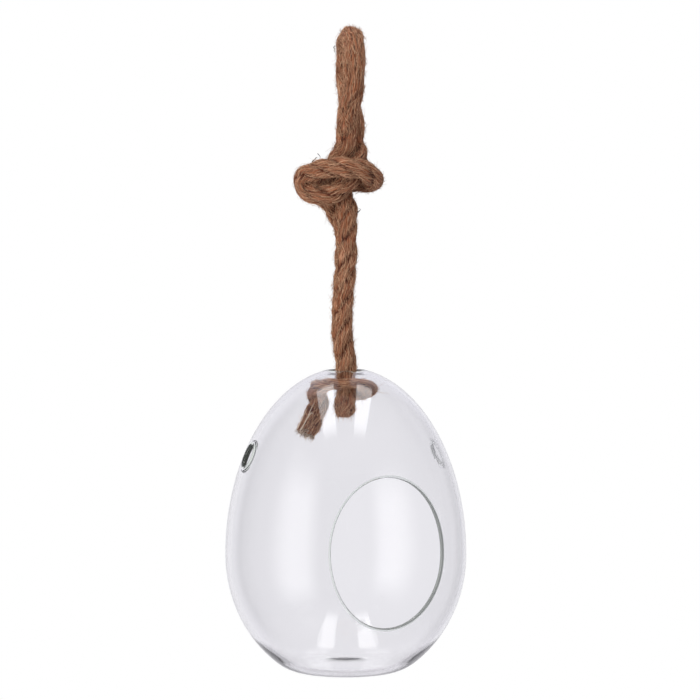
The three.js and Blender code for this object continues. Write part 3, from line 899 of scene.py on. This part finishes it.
    all_faces = faces + edges + opening_rim_faces + right_vent_rim_faces
    made = make_piece("blown_glass_vessel", np.vstack(blocks), all_faces, GLASS, "clear_glass")
    for material in (EDGE_GLASS, PALE_OPENING_RIM_GLASS, PALE_VENT_RIM_GLASS):
        made.data.materials.append(material)
    sorts = np.repeat(np.arange(4), [len(faces), len(edges), len(opening_rim_faces), len(right_vent_rim_faces)])
    made.data.polygons.foreach_set("material_index", sorts)
    solid = bmesh.new()
    solid.from_mesh(made.data)
    bmesh.ops.delete(solid, geom=[v for v in solid.verts if not v.link_faces], context="VERTS")
    bmesh.ops.recalc_face_normals(solid, faces=solid.faces)
    solid.to_mesh(made.data)
    solid.free()
    return made


vessel = glass_vessel()
vessel.visible_shadow = False
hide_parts("glass_vessel")
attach(vessel, "vessel")

# Floor, well under the hanging vase, and soft studio light
FLOOR_LEVEL = -800
FLOOR_RADIUS = 900
FLOOR_RINGS = 8
FLOOR_SIDES = 96
# The floor fades between these distances from its middle, in metres
FLOOR_FADE = (0.4, 0.88)


def pale_floor():
    """Matt white paint: pale and plain, fading to the white of the background at its rim."""
    paint = {"Base Color": linear("#f3f2f5"), "Roughness": 0.95}
    material, tree, shader = new_material("matt_white_floor", paint)
    place = add(tree, "TexCoord")
    away = add(tree, "VectorMath", {0: place.outputs["Object"], 1: (0, 0, -FLOOR_LEVEL * MM)},
               operation="ADD")
    far = add(tree, "VectorMath", {0: away.outputs[0]}, operation="LENGTH")
    fade = {"Value": far.outputs["Value"], "From Min": FLOOR_FADE[0], "From Max": FLOOR_FADE[1]}
    rim = add(tree, "MapRange", fade)
    gone = add(tree, "BsdfTransparent")
    mixed = add(tree, "MixShader", {0: rim.outputs[0], 1: shader.outputs[0], 2: gone.outputs[0]})
    tree.links.new(mixed.outputs[0], tree.nodes["Material Output"].inputs["Surface"])
    return material


floor_turn = np.linspace(0, 2 * np.pi, FLOOR_SIDES, endpoint=False)
floor_rings = np.linspace(0, FLOOR_RADIUS, FLOOR_RINGS + 1)[1:, None]
floor_index = np.arange(FLOOR_RINGS * FLOOR_SIDES).reshape(FLOOR_RINGS, FLOOR_SIDES)
floor_points = np.stack([floor_rings * np.cos(floor_turn), floor_rings * np.sin(floor_turn),
                         np.full(floor_index.shape, FLOOR_LEVEL)], axis=-1).reshape(-1, 3)
floor_faces = quads(floor_index)[..., ::-1].reshape(-1, 4).tolist() + [floor_index[0].tolist()]
floor_mesh = bpy.data.meshes.new("floor")
floor_mesh.from_pydata((floor_points * MM).tolist(), [], floor_faces)
floor_mesh.materials.append(pale_floor())
floor = new_object("floor", floor_mesh)


def faded(tree, glow, steps):
    """A value times smooth steps, each given as a socket, where that is dark and where it is fully lit."""
    for share, dim, lit in steps:
        rising = add(tree, "MapRange", {"Value": share, "From Min": dim, "From Max": lit},
                     interpolation_type="SMOOTHSTEP")
        glow = add(tree, "Math", {0: glow, 1: rising.outputs[0]}, operation="MULTIPLY")
        glow = glow.outputs[0]
    return glow


def softbox(name, place, aim_at, across, tall, radiance, soft):
    """A rectangular area light; its power is the radiance times pi times its area, and the radiance falls
    off towards its four edges, in the order left, right, bottom, top, over these shares of its size."""
    lamp = bpy.data.lights.new(name, "AREA")
    lamp.use_nodes = True
    tree = lamp.node_tree
    spot = add(tree, "NewGeometry")
    sides = add(tree, "SeparateXYZ", {0: spot.outputs["Parametric"]})
    glow = faded(tree, 1.0, [(sides.outputs[axis], edge, abs(edge - share))
                             for axis, edge, share in zip("XXYY", (0, 1, 0, 1), soft)])
    tree.links.new(glow, tree.nodes["Emission"].inputs["Strength"])
    lamp.shape = "RECTANGLE"
    lamp.size = across
    lamp.size_y = tall
    lamp.energy = radiance * math.pi * across * tall
    made = new_object(name, lamp)
    made.location = place
    made.rotation_mode = "QUATERNION"
    made.rotation_quaternion = (aim_at - place).to_track_quat("-Z", "Y")
    made.visible_camera = False
    return made


vase_middle = Vector((0, 0, widest * MM))
# Lights, in metres: two overhead, from and to these shares of their height to the right and a share of it
# forward; a tall one on the left; and two fills, with the way to each, toward the camera, to its right
# and up, and its radiance. A light's own tuple is its length, radiance and soft edges
OVERHEAD = 1.3
OVERHEAD_SIDES = (("overhead_left", -0.45, -0.17), ("overhead_right", 0.15, 0.4))
OVERHEAD_FORWARD = 0.13
OVERHEAD_LIGHT = (1.2 * OVERHEAD, 2.6, (0.06, 0.06, 0.28, 0.1))
LEFT_ANGLE = math.radians(54)
LEFT_DISTANCE = 2.2
LEFT_WIDTH = 2.7
LEFT_LIGHT = (4.4, 1.8, (0.55, 0.32, 0.35, 0.35))
FILLS = (("front_fill", (0.85, -0.3, 0.3), 1.45), ("rear_fill", (-0.7, 0.7, 0.3), 1.3))
FILL_DISTANCE = 1.8
FILL_SIZE = 1.4
FILL_SOFT = (0.1, 0.1, 0.1, 0.1)
for name, low, high in OVERHEAD_SIDES:
    place = camera_right * (low + high) / 2 * OVERHEAD + camera_side * OVERHEAD_FORWARD * OVERHEAD
    place = place + vase_middle + Vector((0, 0, OVERHEAD))
    box = softbox(name, place, place - Vector((0, 0, 1)), (high - low) * OVERHEAD, *OVERHEAD_LIGHT)
    box.rotation_mode = "XYZ"
    box.rotation_euler = (0, 0, PHOTO_AZIMUTH)
left_way = camera_side * math.cos(LEFT_ANGLE) - camera_right * math.sin(LEFT_ANGLE)
left_place = vase_middle + left_way * LEFT_DISTANCE
matt_only = [softbox("tall_left", left_place, vase_middle, LEFT_WIDTH, *LEFT_LIGHT)]
for name, (near, right, up), radiance in FILLS:
    place = vase_middle + (camera_side * near + camera_right * right + Vector((0, 0, up))) * FILL_DISTANCE
    matt_only.append(softbox(name, place, vase_middle, FILL_SIZE, FILL_SIZE, radiance, FILL_SOFT))
for box in matt_only:
    box.visible_glossy = False
    box.visible_transmission = False

# Shares from floor to ceiling, and from the backdrop round to the camera's side, with their tones
LEVEL_SHADES = [(0.0, "#f0eff4"), (0.2, "#fbfafd"), (0.36, "#ffffff"), (0.5, "#ffffff"),
                (0.7, "#fafafd"), (0.85, "#dddce2"), (1.0, "#b0afb5")]
TURN_SHADES = [(0.0, "#eeedf2"), (0.1, "#eeedf2"), (0.14, "#f4f3f8"), (0.18, "#e4e3e9"),
               (0.29, "#a3a2a8"), (0.5, "#aaa9af"), (1.0, "#a2a1a7")]
BACKDROP_ASIDE = 0.14
# The tall light on the left as glass mirrors it: its strength, and where it is dark and where fully lit,
# in radians round it and by height
LEFT_GLOW = 1.65
GLOW_ROUND = ((-0.55, -0.2), (0.55, -0.06))
GLOW_HEIGHT = ((-0.71, -0.29), (0.71, 0.29))
EVEN_LIGHT = 0.45


def studio():
    """White behind the object, which glass shows as a pale lavender grey from every side. What it mirrors
    is a room with a white wall behind, dimmer ones beside and behind the camera, and the tall soft light
    on the left. Matt surfaces get an even soft light."""
    world = bpy.data.worlds.new("studio")
    world.use_nodes = True
    bpy.context.scene.world = world
    tree = world.node_tree
    seen = add(tree, "LightPath")
    way = add(tree, "TexCoord")
    apart = add(tree, "SeparateXYZ", {0: way.outputs["Generated"]})
    height = add(tree, "MapRange", {"Value": apart.outputs["Z"], "From Min": -1.0, "From Max": 1.0})
    backdrop = -camera_side - camera_right * BACKDROP_ASIDE
    level = add(tree, "VectorMath", {0: way.outputs["Generated"], 1: (1, 1, 0)}, operation="MULTIPLY")
    compass = add(tree, "VectorMath", {0: level.outputs[0]}, operation="NORMALIZE")
    ahead = add(tree, "VectorMath", {0: compass.outputs[0], 1: backdrop.normalized()},
                operation="DOT_PRODUCT")
    aside = add(tree, "Math", {0: ahead.outputs["Value"]}, operation="ARCCOSINE")
    turned = add(tree, "Math", {0: aside.outputs[0], 1: math.pi}, operation="DIVIDE")
    shown = []
    for share, shades in ((height, LEVEL_SHADES), (turned, TURN_SHADES)):
        ramp = add(tree, "ValToRGB", {"Fac": share.outputs[0]})
        ramp.color_ramp.interpolation = "EASE"
        shade_ramp(ramp, shades)
        shown.append(ramp.outputs[0])
    mirrored = add(tree, "Math", {0: seen.outputs["Glossy Depth"], 1: 0.5}, operation="GREATER_THAN")
    wall = add(tree, "Mix", {"Factor": mirrored.outputs[0], 6: linear("#eeedf2"), 7: shown[1]},
               data_type="RGBA")
    room = add(tree, "Mix", {"Factor": 1.0, 6: shown[0], 7: wall.outputs[2]}, data_type="RGBA",
               blend_type="MULTIPLY")
    left_side = left_way.cross(Vector((0, 0, 1)))
    toward, beside = [
        add(tree, "VectorMath", {0: compass.outputs[0], 1: axis}, operation="DOT_PRODUCT")
        for axis in (left_way, left_side)]
    round_left = add(tree, "Math", {0: beside.outputs["Value"], 1: toward.outputs["Value"]},
                     operation="ARCTAN2")
    glow = add(tree, "Math", {0: mirrored.outputs[0], 1: LEFT_GLOW}, operation="MULTIPLY")
    steps = [(round_left.outputs[0], *span) for span in GLOW_ROUND]
    steps = steps + [(apart.outputs["Z"], *span) for span in GLOW_HEIGHT]
    glow = faded(tree, glow.outputs[0], steps)
    either = {0: seen.outputs["Is Glossy Ray"], 1: seen.outputs["Is Transmission Ray"]}
    clear = add(tree, "Math", either, operation="MAXIMUM")
    walls = add(tree, "Background", {"Color": room.outputs[2], "Strength": 1.0})
    light = add(tree, "Background", {"Color": (1, 1, 1, 1), "Strength": glow})
    around = add(tree, "AddShader", {0: walls.outputs[0], 1: light.outputs[0]})
    even = add(tree, "Background", {"Color": linear("#eae9ee"), "Strength": EVEN_LIGHT})
    indirect = add(tree, "MixShader", {0: clear.outputs[0], 1: even.outputs[0], 2: around.outputs[0]})
    white = add(tree, "Background", {"Color": (1, 1, 1, 1), "Strength": 1.0})
    shown_to = {0: seen.outputs["Is Camera Ray"], 1: indirect.outputs[0], 2: white.outputs[0]}
    mixed = add(tree, "MixShader", shown_to)
    tree.links.new(mixed.outputs[0], tree.nodes["World Output"].inputs["Surface"])


studio()
bpy.context.scene.view_settings.view_transform = "Standard"
